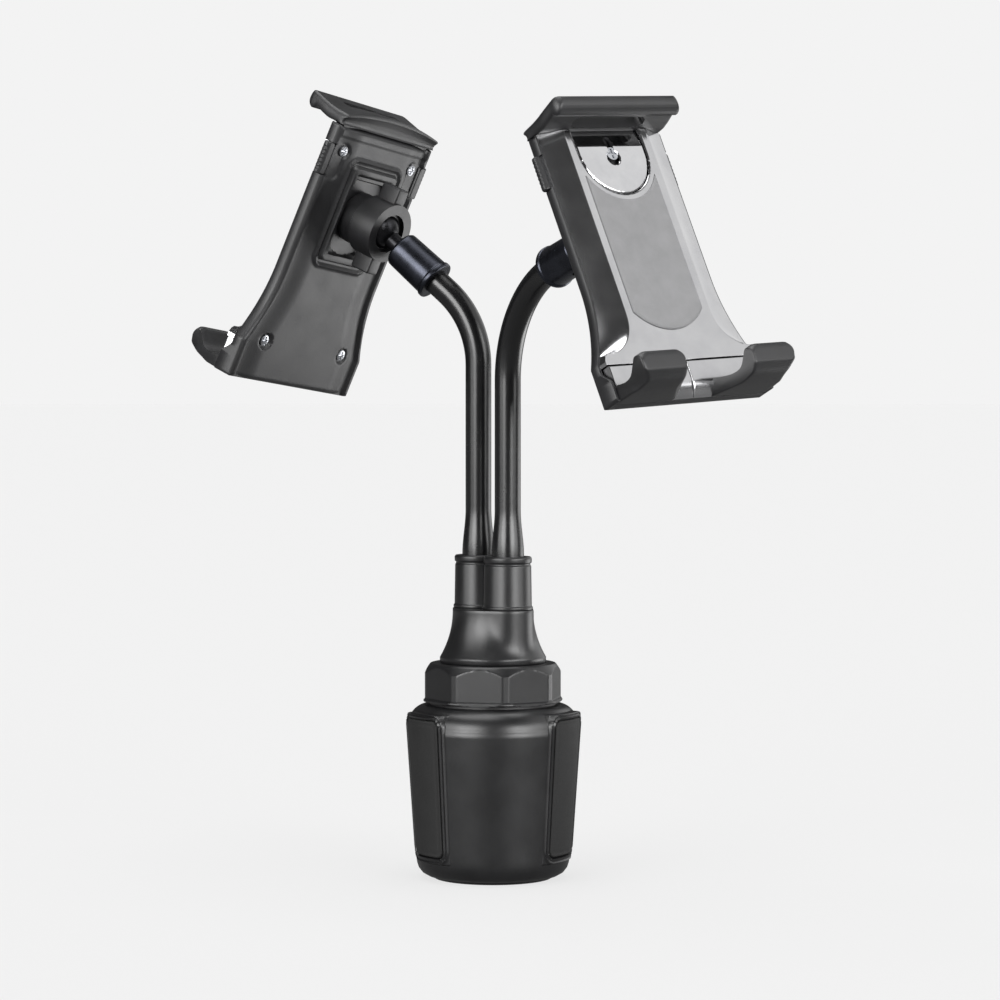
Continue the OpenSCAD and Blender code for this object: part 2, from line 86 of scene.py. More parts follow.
# Rounds the corners of a line of points: each corner gives way to a short curve that starts r before it
def soften(points, r, steps=4, closed=False):
    points = [np.array(p, float) for p in points]
    count, made = len(points), []
    for i, p in enumerate(points):
        if not closed and i in (0, count - 1):
            made.append(p)
            continue
        before, after = points[i - 1] - p, points[(i + 1) % count] - p
        lenB, lenA = np.linalg.norm(before), np.linalg.norm(after)
        cut = min(r[i] if isinstance(r, (list, tuple)) else r, 0.48 * lenB, 0.48 * lenA)
        for t in np.linspace(0, 1, steps + 1):
            made.append(p + (1 - t) ** 2 * before / lenB * cut + t * t * after / lenA * cut)
    return np.array(made)


# Values from a to b with short steps at both ends, down to the first gap and growing to the middle step
def crowded(a, b, step, gaps=(0, 0.12, 0.3, 0.55, 0.9, 1.3)):
    gaps = np.array(gaps)
    count = max(int(round((b - a - 2 * gaps[-1]) / step)), 1)
    middle = np.linspace(a + gaps[-1], b - gaps[-1], count + 1)
    return np.concatenate([a + gaps[:-1], middle, (b - gaps[:-1])[::-1]])


# A surface through a grid of points (rows, columns, 3); rows or columns may close on themselves,
# and open ends may be closed by flat faces
def gridPart(points, wrapRows=False, wrapCols=True, capRows=False):
    rows, cols = points.shape[:2]
    index = np.arange(rows * cols).reshape(rows, cols)
    ends = [index[0].tolist(), index[-1][::-1].tolist()] if capRows else []
    if wrapRows:
        index = np.vstack([index, index[:1]])
    if wrapCols:
        index = np.hstack([index, index[:, :1]])
    quads = np.stack([index[:-1, :-1], index[:-1, 1:], index[1:, 1:], index[1:, :-1]], -1).reshape(-1, 4)
    return points.reshape(-1, 3), quads.tolist() + ends


# A turned part: each profile point (radius, height) runs round the Z axis
def turnedPart(profile, segments=96, closed=True, swell=None):
    profile = np.asarray(profile, float)
    turn = np.linspace(0, tau, segments, endpoint=False)
    radius = np.repeat(profile[:, :1], segments, 1)
    if swell is not None:
        radius = swell(radius, turn[None, :], profile[:, 1:])
    height = np.repeat(profile[:, 1:], segments, 1)
    points = np.stack([radius * np.cos(turn), radius * np.sin(turn), height], -1)
    return gridPart(points, wrapRows=closed, capRows=not closed)


# A thick plate over plan points (a, b): a top and a bottom surface, with walls round its rim and its holes.
# cut(a, b) is above 0 where there's a hole; points within half a cell of its edge move on to the edge.
def slabPart(a, b, top, bottom, place, cut=None, cell=0.5, hole=None, wrap=False):
    a, b = np.array(a, float), np.array(b, float)
    rows, cols = a.shape
    keep = np.ones(a.shape, bool)
    if cut is not None:
        d, e = cut(a, b), 0.01
        near = np.abs(d) < 0.5 * cell
        slopeA = (cut(a + e, b) - cut(a - e, b)) / (2 * e)
        slopeB = (cut(a, b + e) - cut(a, b - e)) / (2 * e)
        a = np.where(near, a - slopeA * d, a)
        b = np.where(near, b - slopeB * d, b)
        keep = (d <= 0) | near
    index = np.arange(rows * cols).reshape(rows, cols)
    if wrap:
        index = np.hstack([index, index[:, :1]])
    corner = np.stack([index[:-1, :-1], index[:-1, 1:], index[1:, 1:], index[1:, :-1]], -1).reshape(-1, 4)
    kept = keep.reshape(-1)[corner]
    if cut is not None:
        middle = cut(a.reshape(-1)[corner].mean(1), b.reshape(-1)[corner].mean(1))
        kept &= (middle < 0.25 * cell)[:, None]
    if hole is not None:
        kept &= ~hole.reshape(-1)[:, None]
    quads = corner[kept.all(1)]
    three = kept.sum(1) == 3
    triangles = corner[three][~(np.arange(4)[None, :] == np.argmin(kept[three], 1)[:, None])].reshape(-1, 3)
    edges = np.concatenate([np.stack([f, np.roll(f, -1, 1)], -1).reshape(-1, 2) for f in (quads, triangles)])
    order = np.sort(edges, 1)
    _, first, counts = np.unique(order, axis=0, return_index=True, return_counts=True)
    rim = edges[first[counts == 1]]
    total = rows * cols
    upper, lower = place(a, b, top(a, b)), place(a, b, bottom(a, b))
    points = np.concatenate([upper.reshape(-1, 3), lower.reshape(-1, 3)])
    walls = np.stack([rim[:, 0], rim[:, 1], rim[:, 1] + total, rim[:, 0] + total], -1)
    faces4 = np.concatenate([quads, quads[:, ::-1] + total, walls])
    faces3 = np.concatenate([triangles, triangles[:, ::-1] + total])
    used = np.unique(np.concatenate([faces4.reshape(-1), faces3.reshape(-1)]))
    renumber = np.full(2 * total, -1)
    renumber[used] = np.arange(len(used))
    return points[used], renumber[faces4].tolist() + renumber[faces3].tolist()


# A bar of one section: each section point (y, z) is carried along x, and the ends close over a rounded edge,
# where the section shrinks towards its middle as the quarter round says
def barPart(section, x0, x1, edge=0.6, stations=8):
    section = np.asarray(section, float)
    middle = section.mean(0)
    size = np.abs(section - middle).max()
    turn = np.linspace(0, math.pi / 2, 5)
    ends = edge * (1 - np.sin(turn))
    inset = edge * (1 - np.cos(turn[::-1]))
    along = np.concatenate([x0 + edge - edge * np.cos(turn), np.linspace(x0 + edge, x1 - edge, stations)[1:-1],
        (x1 - edge + edge * np.cos(turn))[::-1]])
    shrink = np.concatenate([ends, np.zeros(stations - 2), ends[::-1]])
    scale = 1 - shrink / size
    points = np.empty((len(along), len(section), 3))
    points[..., 0] = along[:, None]
    points[..., 1:] = middle + (section - middle)[None] * scale[:, None, None]
    return gridPart(points, capRows=True)


# A box with eased edges, as a bar of a softened rectangle
def boxPart(low, high, edge=0.4):
    section = soften([(low[1], low[2]), (high[1], low[2]), (high[1], high[2]), (low[1], high[2])], edge, 3, True)
    return barPart(section, low[0], high[0], edge, 3)


# A frame is an origin and three axes, as columns: a part's own x, y and z in the object
def inFrame(part, frameOf):
    origin, axes = frameOf
    return part[0] @ axes.T + origin, part[1]


def mirrored(part):
    return part[0] * np.array([-1, 1, 1]), part[1]


# Joins parts in mm into one piece in metres, merges doubles, points its faces outwards, and puts it on its body; a
# piece given a blend is only fixed in place, on no body
def makePiece(name, parts, finish, body, slot, stands=(), sharp=34, blend=None):
    start, points, faces = 0, [], []
    for vertices, polygons in parts:
        points.append(vertices)
        faces += [[i + start for i in f] for f in polygons]
        start += len(vertices)
    mesh = bpy.data.meshes.new(name)
    mesh.from_pydata((np.concatenate(points) * mm).tolist(), [], faces)
    work = bmesh.new()
    work.from_mesh(mesh)
    bmesh.ops.remove_doubles(work, verts=work.verts, dist=2e-6)
    bmesh.ops.recalc_face_normals(work, faces=work.faces)
    work.to_mesh(mesh)
    work.free()
    mesh.shade_smooth()
    mesh.set_sharp_from_angle(angle=math.radians(sharp))
    mesh.materials.append(finish)
    piece = bpy.data.objects.new(name, mesh)
    bpy.context.scene.collection.objects.link(piece)
    if blend:
        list(blend)
        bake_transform(piece)
    else:
        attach(piece, body)
    if stands:
        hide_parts(*stands)
    return piece


# Finishes
# An sRGB hex value as linear colour: each channel to the power that the sRGB curve gives
def linear(hexValue):
    channels = [int(hexValue[i:i + 2], 16) / 255 for i in (1, 3, 5)]
    return [c / 12.92 if c <= 0.04045 else ((c + 0.055) / 1.055) ** 2.4 for c in channels] + [1]


# Adds a node with its properties, and sets or links each named input
def addNode(tree, kind, inputs=None, **properties):
    node = tree.nodes.new(kind)
    for key, value in properties.items():
        setattr(node, key, value)
    for key, value in (inputs or {}).items():
        if isinstance(value, bpy.types.NodeSocket):
            tree.links.new(value, node.inputs[key])
        else:
            node.inputs[key].default_value = value
    return node


# A finish of two patterns on Object coordinates: a broad one that shifts the colour and the gloss, as handling
# and flow in the mould do, and a fine grain that is bump. grain and patch are in mm, depth is the grain's height.
def makeFinish(name, dark, light, gloss, patch, grain, depth, stretch=(1, 1, 1), **shader):
    material = bpy.data.materials.new(name)
    material.use_nodes = True
    tree = material.node_tree
    tree.nodes.clear()
    place = addNode(tree, "ShaderNodeTexCoord").outputs["Object"]
    broad = addNode(tree, "ShaderNodeTexNoise",
        {"Vector": place, "Scale": 1000 / patch, "Detail": 4, "Roughness": 0.6})
    stretched = addNode(tree, "ShaderNodeMapping", {"Vector": place, "Scale": stretch})
    fine = addNode(tree, "ShaderNodeTexNoise",
        {"Vector": stretched.outputs["Vector"], "Scale": 1000 / grain, "Detail": 3, "Roughness": 0.55})
    colour = addNode(tree, "ShaderNodeValToRGB", {"Fac": broad.outputs["Fac"]})
    colour.color_ramp.elements[0].position, colour.color_ramp.elements[1].position = 0.32, 0.7
    colour.color_ramp.elements[0].color, colour.color_ramp.elements[1].color = linear(dark), linear(light)
    mixed = addNode(tree, "ShaderNodeMath", {0: broad.outputs["Fac"], 1: fine.outputs["Fac"]}, operation="ADD")
    rough = addNode(tree, "ShaderNodeMapRange",
        {"Value": mixed.outputs[0], "From Min": 0.7, "From Max": 1.3, "To Min": gloss[0], "To Max": gloss[1]})
    bump = addNode(tree, "ShaderNodeBump",
        {"Height": fine.outputs["Fac"], "Strength": 1.0, "Distance": depth * mm})
    surface = addNode(tree, "ShaderNodeBsdfPrincipled", {"Base Color": colour.outputs["Color"],
        "Roughness": rough.outputs["Result"], "Normal": bump.outputs["Normal"], **shader})
    addNode(tree, "ShaderNodeOutputMaterial", {"Surface": surface.outputs["BSDF"]})
    return material


finishes = {
    # Spark-textured ABS, injection moulded: a soft sheen with a broken highlight
    "satinAbs": makeFinish("satinAbs", "#101011", "#171718", (0.3, 0.38), 14, 0.55, 0.008, IOR=1.55),
    # Finer textured ABS of the cradles: a duller, flatter black
    "mattAbs": makeFinish("mattAbs", "#151516", "#1d1d1f", (0.4, 0.5), 11, 0.5, 0.012, IOR=1.55),
    # Moulded rubber pad: hardly any sheen, with a fine tooth
    "padRubber": makeFinish("padRubber", "#121212", "#181818", (0.66, 0.8), 9, 0.6, 0.02, IOR=1.5),
    # Extruded PVC skin over the necks: smooth, with long clear highlights
    "neckSkin": makeFinish("neckSkin", "#0c0c0d", "#121213", (0.22, 0.28), 24, 3.2, 0.003, IOR=1.55),
    # Turned aluminium, blasted and anodised blue-black: a satin metal sheen
    "anodised": makeFinish("anodised", "#2d2f35", "#3b3d45", (0.24, 0.32), 6, 0.5, 0.003, (1, 1, 3), Metallic=0.9),
    # ABS under silver paint: bright, a little soft, with a faint metal flake
    "silverPaint": makeFinish("silverPaint", "#b6b6b8", "#c2c2c3", (0.14, 0.2), 16, 0.45, 0.0015, Metallic=1.0),
    # Vacuum-plated ABS: a mirror with slight waves
    "platedAbs": makeFinish("platedAbs", "#c4c4c6", "#d0d0d1", (0.06, 0.1), 12, 4, 0.012, Metallic=1.0),
    # Silicone sheet: mid grey, dull, with a powdery surface
    "greySilicone": makeFinish("greySilicone", "#777778", "#808081", (0.6, 0.72), 8, 0.5, 0.01, IOR=1.43),
    # Black-oxide steel: dark, with a small hard highlight
    "blackOxide": makeFinish("blackOxide", "#1b1b1d", "#29292c", (0.25, 0.36), 3, 0.4, 0.004, Metallic=0.8),
    # Zinc-plated steel: bright, slightly streaked
    "zincSteel": makeFinish("zincSteel", "#a9abb0", "#c6c8cc", (0.2, 0.34), 2.5, 0.3, 0.004, (1, 1, 4), Metallic=1.0),
    # Machined acetal: milky and waxy
    "acetal": makeFinish("acetal", "#b9b8b0", "#c9c8c1", (0.34, 0.44), 8, 0.7, 0.006, IOR=1.48),
}
slots = {"satinAbs": "base_plastic", "mattAbs": "black_plastic", "padRubber": "rubber", "neckSkin": "sleeve_rubber",
    "anodised": "collar_metal", "silverPaint": "silver_plastic", "platedAbs": "tongue_plate",
    "greySilicone": "grip_pad", "blackOxide": "steel", "zincSteel": "steel", "acetal": "inner_plastic"}


def build(name, parts, finishName, body, stands=(), **more):
    return makePiece(name, parts, finishes[finishName], body, slots[finishName], stands, **more)


print("finishes ready")

# Cup base
base = {"radius": 34.2, "taper": 0.0685, "wall": 2.4, "shoulderAt": 60.4, "shoulderAcross": 7.5, "shoulderUp": 8.6,
    "crown": 26.4, "jawAngles": (-147, -27, 93), "jawMiddle": 37.3, "jawHalf": 23.8, "jawTall": 29.5,
    "padMiddle": 37.4, "padHalf": 18.5, "padTall": 27, "windowHalf": 23.95, "windowLow": 7.7, "windowHigh": 66.9}
upright = (np.zeros(3), np.eye(3))


# Radius of the tapering wall at height z
def wallRadius(z):
    return base["radius"] - (62 - z) * base["taper"]


# The shoulder above the wall is a quarter ellipse
def shoulderRadius(z):
    rise = np.clip((z - base["shoulderAt"]) / base["shoulderUp"], 0, 1)
    curved = base["crown"] + base["shoulderAcross"] * np.sqrt(1 - rise ** 2)
    return np.where(z > base["shoulderAt"], curved, wallRadius(z))


def turnedAxes(degrees):
    c, s = math.cos(math.radians(degrees)), math.sin(math.radians(degrees))
    return np.array([[c, -s, 0], [s, c, 0], [0, 0, 1]])


# The cup: rows follow its outer profile up from the foot and over the shoulder, and every row has a partner
# on the inner wall; columns go round, with a column on each side of every jaw's window
def cupShell():
    outer = [(24.6, 1.0), (26.2, 1.25), (28.2, 2.4), (29.6, 4.2), (30.2, 6.0)]
    inner = [(24.6, 3.2), (25.2, 3.6), (26.0, 4.6), (27.0, 5.8), (27.6, 6.8)]
    for z in np.linspace(base["windowLow"], base["shoulderAt"] - 0.3, 28):
        outer.append((wallRadius(z), z))
        inner.append((wallRadius(z) - base["wall"], z))
    for lean in np.radians([0, 8, 16, 24, 32, 40.5, 49.1, 56, 63, 70, 77, 84, 90]):
        across, up = math.cos(lean), math.sin(lean)
        outer.append((base["crown"] + base["shoulderAcross"] * across, base["shoulderAt"] + base["shoulderUp"] * up))
        inner.append((26.2 + 5.2 * across, base["shoulderAt"] + 6.0 * up))
    outer.append((13.3, 69))
    inner.append((13.3, 66.4))
    outer, inner = np.array(outer), np.array(inner)
    window = [a + s * base["windowHalf"] for a in base["jawAngles"] for s in (-1, 1)]
    turn = np.sort(np.concatenate([np.arange(-180, 180, 3.0), [(w + 180) % 360 - 180 for w in window]]))
    row, column = np.meshgrid(np.arange(len(outer)), np.radians(turn), indexing="ij")
    middleZ = 0.5 * (outer[:-1, 1] + outer[1:, 1])
    middleTurn = turn + 0.5 * ((np.roll(turn, -1) - turn) % 360)
    apart = np.min([np.abs((middleTurn - a + 180) % 360 - 180) for a in base["jawAngles"]], axis=0)
    hole = ((middleZ > base["windowLow"]) & (middleZ < base["windowHigh"]))[:, None] & (apart < base["windowHalf"])

    def place(rows, turns, side):
        profile = outer if side[0, 0] > 0 else inner
        picked = profile[rows.astype(int)]
        return np.stack([picked[..., 0] * np.cos(turns), picked[..., 0] * np.sin(turns), picked[..., 1]], -1)

    return slabPart(row, column, lambda a, b: np.ones_like(a), lambda a, b: -np.ones_like(a), place,
        hole=hole, wrap=True)


def aroundZ(a, b, h):
    return np.stack([h * np.cos(a / 34), h * np.sin(a / 34), b], -1)


# A jaw: a curved plate whose rim stands up as two fine beads round the pad's pocket. Plan points are the length
# round a 34 mm circle and the height; the surface is the wall's radius plus each bead's round hump.
def jawShell():
    half = math.radians(base["jawHalf"]) * 34
    padHalfArc = math.radians(base["padHalf"]) * 34
    a, b = np.meshgrid(crowded(-half, half, 0.55), crowded(7.8, 66.8, 0.7), indexing="ij")

    def outline(x, z):
        return roundBox(x, z - base["jawMiddle"], half, base["jawTall"], 0.5)

    def top(x, z):
        edge = roundBox(x, z - base["padMiddle"], padHalfArc, base["padTall"] + 0.1, 3.0)
        pocket = 1.15 * ramp(-edge, -0.15, 0.15)
        beads = 0.75 * np.exp(-((edge - 0.75) / 0.42) ** 2) + 0.55 * np.exp(-((edge - 2.15) / 0.4) ** 2)
        raised, flush = wallRadius(np.minimum(z, 62)) + 0.34, shoulderRadius(z) + 0.04
        level = flush + (raised - flush) * ramp(-edge, -2.9, -2.2)
        return level + beads - pocket - edgeDrop(-outline(x, z), 0.15)

    def bottom(x, z):
        return shoulderRadius(z) - 2.3

    return slabPart(a, b, top, bottom, aroundZ, cut=outline, cell=0.5)


def padShell():
    half = math.radians(base["padHalf"]) * 34 - 0.15
    a, b = np.meshgrid(crowded(-half, half, 0.6), crowded(10.4, 64.4, 0.8), indexing="ij")

    def outline(x, z):
        return roundBox(x, z - base["padMiddle"], half, base["padTall"], 3.0)

    def top(x, z):
        inside = -outline(x, z)
        channel = 0.3 * np.exp(-((inside - 1.6) / 0.35) ** 2)
        return wallRadius(np.minimum(z, 62)) + 0.8 - edgeDrop(inside, 0.7) - channel

    return slabPart(a, b, top, lambda x, z: wallRadius(z) - 0.85, aroundZ, cut=outline, cell=0.5)


build("cupBody", [cupShell()], "satinAbs", "root", ["cup_body"])
for number, angle in enumerate(base["jawAngles"], 1):
    spot = (np.zeros(3), turnedAxes(angle))
    guides = [boxPart((9.7, -5, 55.2), (wallRadius(57) - 2, 5, 59.8), 0.3),
        boxPart((11.7, -5, 14), (wallRadius(16) - 2, 5, 18), 0.3),
        inFrame(turnedPart(soften([(0.3, 59.5), (2, 59.5), (2, 64), (0.3, 64)], [0, 0, 0.3, 0]), 32, False),
            (np.array([12.6, 0, 0]), np.eye(3)))]
    build(f"jaw{number}", [inFrame(p, spot) for p in [jawShell()] + guides], "satinAbs", f"jaw_{number}",
        [f"jaw_{number}"])
    build(f"gripPad{number}", [inFrame(padShell(), spot)], "padRubber", f"jaw_{number}", [f"pad_{number}"])
print("cup base ready")

# Knob
knob = {"corner": 27.8, "turn": 10.5, "strip": 27.3}


# The knob: eight flats whose distance from the axis is the flat's over the cosine of the angle off its middle,
# with a narrow strip along each corner, cut by a cone above, so each flat ends in an arch
def knobSwell(radius, turn, height):
    flat = knob["corner"] * math.cos(math.pi / 8)
    off = (turn - math.radians(knob["turn"])) % (tau / 8) - tau / 16
    eight = flat / np.cos(off)
    strip = knob["strip"] * math.cos(math.radians(3.2)) / np.cos((tau / 16 - np.abs(off)))
    eight = np.minimum(eight, strip)
    return np.where(radius > 22.9, np.minimum(radius, eight + 1.0 * ramp(-height, -71.7, -70.9)), radius)


rise = np.linspace(0, 1, 12)
knobProfile = np.concatenate([
    [(13.1, 70.2), (16, 70.2), (22.6, 70.2), (25.0, 70.0), (27.0, 70.05), (27.6, 70.25), (27.75, 70.6),
        (27.7, 70.9), (27.6, 71.2), (27.6, 71.5), (28.2, 71.8)],
    [(28.4, z) for z in np.linspace(72.2, 79.6, 14)],
    np.stack([28.3 - 3.2 * rise ** 1.15, 79.9 + 5.2 * rise], 1),
    [(24.8, 85.35), (24.3, 85.48), (22.8, 85.5), (20, 85.5), (16, 85.5), (9.8, 85.5), (9.55, 85.3), (9.55, 80.3),
        (13.1, 80.2)]])
build("knobShell", [turnedPart(knobProfile, 360, True, knobSwell)], "satinAbs", "knob", ["knob"], sharp=22)
print("knob ready")

# Necks
necks = {
    "left": {"side": -1, "azimuth": 158, "curveStart": 203.4, "curveRadius": 39, "curveAngle": 49, "straight": 39.4},
    "right": {"side": 1, "azimuth": -57.7, "curveStart": 197.5, "curveRadius": 44.8, "curveAngle": 72.2,
        "straight": 34.7}}
neck = {"gap": 9.65, "line": -53, "radius": 5.15, "flareRadius": 6.5, "flareLow": 128.6, "flareHigh": 146,
    "cowlHigh": 107}
lineAt = math.radians(neck["line"])
lineDirection = np.array([math.cos(lineAt), math.sin(lineAt), 0])


cowlBlend = 0.8  # mm over which the cone runs into the ferrules' feet


# The cowl: at each height the outline is a soft maximum of one circle, whose radius falls with the square of the
# height still to go, and the longer outline round the two ferrules, two half circles joined by straight sides
def cowlShell():
    turn = np.linspace(0, tau, 240, endpoint=False)
    part = np.linspace(0, 1, 26)
    radii = np.concatenate([[20.5, 20.9, 21.1, 21.1], 16.0 + 5.1 * (1 - part) ** 2.1, [15.9, 15.5]])
    tight = np.concatenate([np.full(4 + len(part), 10.2), [10.1, 9.8]])
    heights = np.concatenate([[85.65, 85.7, 86.0, 87.5],
        87.7 + (neck["cowlHigh"] - 0.6 - 87.7) * part, [neck["cowlHigh"] - 0.2, neck["cowlHigh"]]])
    off = turn - lineAt
    along, across = np.abs(np.cos(off))[None, :], np.maximum(np.abs(np.sin(off)), 1e-6)[None, :]
    side = tight[:, None] / across
    lobe = neck["gap"] * along + np.sqrt(np.clip(tight[:, None] ** 2 - (neck["gap"] * across) ** 2, 0, None))
    feet = np.where(side * along < neck["gap"], side, lobe)
    both = cowlBlend * np.log(np.exp(radii[:, None] / cowlBlend) + np.exp(feet / cowlBlend))
    points = np.stack([both * np.cos(turn), both * np.sin(turn), np.repeat(heights[:, None], len(turn), 1)], -1)
    spigot = turnedPart(soften([(2.45, 54.3), (5.9, 54.3), (5.9, 86.2), (2.45, 86.2)], 0.3, 3, True), 64)
    return [gridPart(points, capRows=True), spigot]


# A neck is one tube: its centre line goes up, round one curve and on straight, all in one upright plane,
# and each ring stands square to it. The radius falls from the ferrule's to the tube's along an S-curve.
def neckTube(shape):
    azimuth = math.radians(shape["azimuth"])
    outward = np.array([math.cos(azimuth), math.sin(azimuth), 0])
    across = np.array([-math.sin(azimuth), math.cos(azimuth), 0])
    up = np.array([0, 0, 1.0])
    foot = shape["side"] * neck["gap"] * lineDirection
    bend = math.radians(shape["curveAngle"])
    low = np.linspace(107.2, shape["curveStart"], 56)
    curve = np.linspace(0, bend, 34)[1:]
    tail = np.linspace(0, shape["straight"] - 23.95, 8)[1:]
    corner = shape["curveRadius"]
    reach = np.concatenate([0 * low, corner * (1 - np.cos(curve)),
        corner * (1 - math.cos(bend)) + tail * math.sin(bend)])
    height = np.concatenate([low, shape["curveStart"] + corner * np.sin(curve),
        shape["curveStart"] + corner * math.sin(bend) + tail * math.cos(bend)])
    lean = np.concatenate([0 * low, curve, bend + 0 * tail])
    radius = neck["radius"] + (neck["flareRadius"] - 0.05 - neck["radius"]) * (
        1 - ramp(height, neck["flareLow"], neck["flareHigh"])) * (lean == 0)
    turn = np.linspace(0, tau, 72, endpoint=False)
    centre = foot + reach[:, None] * outward + height[:, None] * up
    square = np.cos(lean)[:, None] * outward - np.sin(lean)[:, None] * up
    points = centre[:, None] + radius[:, None, None] * (
        np.cos(turn)[None, :, None] * square[:, None] + np.sin(turn)[None, :, None] * across)
    inner = centre[:, None] + 3.15 * (
        np.cos(turn)[None, :, None] * square[:, None] + np.sin(turn)[None, :, None] * across)
    return gridPart(np.concatenate([points, inner[::-1]]), wrapRows=True)


# Frame at the ball, with z along the end of the neck
def ballFrame(shape):
    azimuth, bend = math.radians(shape["azimuth"]), math.radians(shape["curveAngle"])
    outward = np.array([math.cos(azimuth), math.sin(azimuth), 0])
    up = np.array([0, 0, 1.0])
    reach = shape["curveRadius"] * (1 - math.cos(bend)) + shape["straight"] * math.sin(bend)
    height = shape["curveStart"] + shape["curveRadius"] * math.sin(bend) + shape["straight"] * math.cos(bend)
    along = math.sin(bend) * outward + math.cos(bend) * up
    square = math.cos(bend) * outward - math.sin(bend) * up
    origin = shape["side"] * neck["gap"] * lineDirection + reach * outward + height * up
    return origin, np.stack([square, np.cross(along, square), along], 1)


# The collar: a turned cap with a skirt lip at its rear, and a round hole through its side for the set screw.
# Plan points are the row along the profile and the length round a 7 mm circle.
def collarShell():
    profile = soften([(3.8, -12), (6.6, -12), (7.5, -13.0), (7.6, -14.6), (7.95, -30.3), (8.05, -30.6), (8.45, -31),
        (8.5, -32.3), (8.2, -32.85), (5.25, -32.85)], 0.35, 4)
    inner = np.stack([np.interp(np.linspace(0, 1, len(profile)), [0, 0.12, 1], [3.8, 5.25, 5.25]),
        np.clip(profile[:, 1], -32.85, -14.5)], 1)
    inner[0], inner[-1] = (3.8, -14.4), (5.2, -32.8)
    rows = [profile[0]]
    for p, q in zip(profile[:-1], profile[1:]):
        steps = max(int(np.linalg.norm(q - p) / 0.45), 1)
        rows += [p + (q - p) * (i + 1) / steps for i in range(steps)]
    rows = np.array(rows)
    length = np.concatenate([[0], np.cumsum(np.linalg.norm(np.diff(rows, axis=0), axis=1))])
    screwAt = np.interp(18.5, -rows[:, 1][rows[:, 0] > 6.9][:-6], length[rows[:, 0] > 6.9][:-6])
    turn = np.linspace(-math.pi, math.pi, 96, endpoint=False)
    a, b = np.meshgrid(length, turn * 7, indexing="ij")

    def cut(s, t):
        return 1.62 - np.hypot(s - screwAt, t)

    def place(s, t, side):
        r, z = np.interp(s, length, rows[:, 0]), np.interp(s, length, rows[:, 1])
        innerR = np.where(z > -14.4, 3.8, 5.22)
        z = np.where(side > 0, z, np.clip(z, -32.84, -12.02))
        r = np.where(side > 0, r, np.minimum(innerR, r - 0.02))
        return np.stack([r * np.cos(t / 7), r * np.sin(t / 7), z], -1)

    return slabPart(a, b, lambda s, t: np.ones_like(s), lambda s, t: -np.ones_like(s), place, cut=cut, cell=0.45,
        wrap=True)


ferruleProfile = soften([(6.55, 107), (9.95, 107), (9.95, 108.1), (9.55, 108.5), (9.3, 124.3), (8.95, 124.7),
    (8.95, 125.3), (9.5, 125.6), (9.55, 127.3), (9.1, 128), (6.55, 128)],
    [0, 0.4, 0.4, 0.2, 0.5, 0.2, 0.2, 0.4, 0.5, 0.5, 0], 4)
ballArc = np.linspace(math.radians(-62), math.radians(88), 40)
studProfile = np.concatenate([
    soften([(0.4, -23.9), (5.1, -23.9), (5.1, -14.6), (3.5, -14.6), (3.5, -8.6)], [0, 0.4, 0.3, 0.3, 0]),
    np.stack([8 * np.cos(ballArc), 8 * np.sin(ballArc)], 1)])
build("cowl", cowlShell(), "satinAbs", "root", ["neck_cowl"])
for name, shape in necks.items():
    foot = (shape["side"] * neck["gap"] * lineDirection, np.eye(3))
    axis = foot[0] * mm
    body = name + "_neck"
    build(name + "Ferrule", [inFrame(turnedPart(ferruleProfile, 96), foot)], "satinAbs", "root",
        ["ferrule_" + name])
    build(name + "Sleeve", [neckTube(shape)], "neckSkin", None, [name + "_sleeve_low", name + "_sleeve_high"],
        blend=("root", body, (axis[0], axis[1], 0.146), (axis[0], axis[1], 0.197)))
    atBall = ballFrame(shape)
    build(name + "Collar", [inFrame(collarShell(), atBall)], "anodised", body, [name + "_collar"])
    build(name + "Stud", [inFrame(turnedPart(studProfile, 96, False), atBall)], "blackOxide", body,
        [name + "_ball_stud"])
print("necks ready")

# Cradles
cradle = {"waist": 31, "flare": 7.8, "top": 34.5, "bottom": -75, "seam": -61, "back": -12.5, "rim": -18.0,
    "front": -22, "rimWidth": 0.7, "flat": 20.5, "scoop": 3.85, "screws": ((22.7, 24.2), (25.2, -58))}


# Half width of the cradle: the waist, and below it a flare that grows with the square of the depth
def halfWidth(z):
    return cradle["waist"] + cradle["flare"] * np.clip((-27 - z) / 32, 0, 1) ** 2


# Plan grid of a cradle part: rows of constant height, columns that follow the outline less an inset
def cradleGrid(low, high, inset, stepX=0.6, stepZ=0.6, round0=0.0):
    z = crowded(low, high, stepZ)
    half = halfWidth(z) - inset
    if round0:
        half = half - edgeDrop(z - low, round0) - edgeDrop(high - z, round0)
    across = crowded(-31, 31, stepX) / 31
    return across[None, :] * half[:, None], np.repeat(z[:, None], len(across), 1)


def facing(x, z, y):
    return np.stack([x, y, z], -1)


def tongueLine(x, z, r, centre=24.2):
    return np.where(z < centre, np.hypot(x, z - centre), np.abs(x)) - r


# Depth of the valley, from the distance inside the shell's side
def valley(side):
    return 1.5 * ramp(side, 2.5, 3.4) * (1 - ramp(side, 3.4, 15.5))


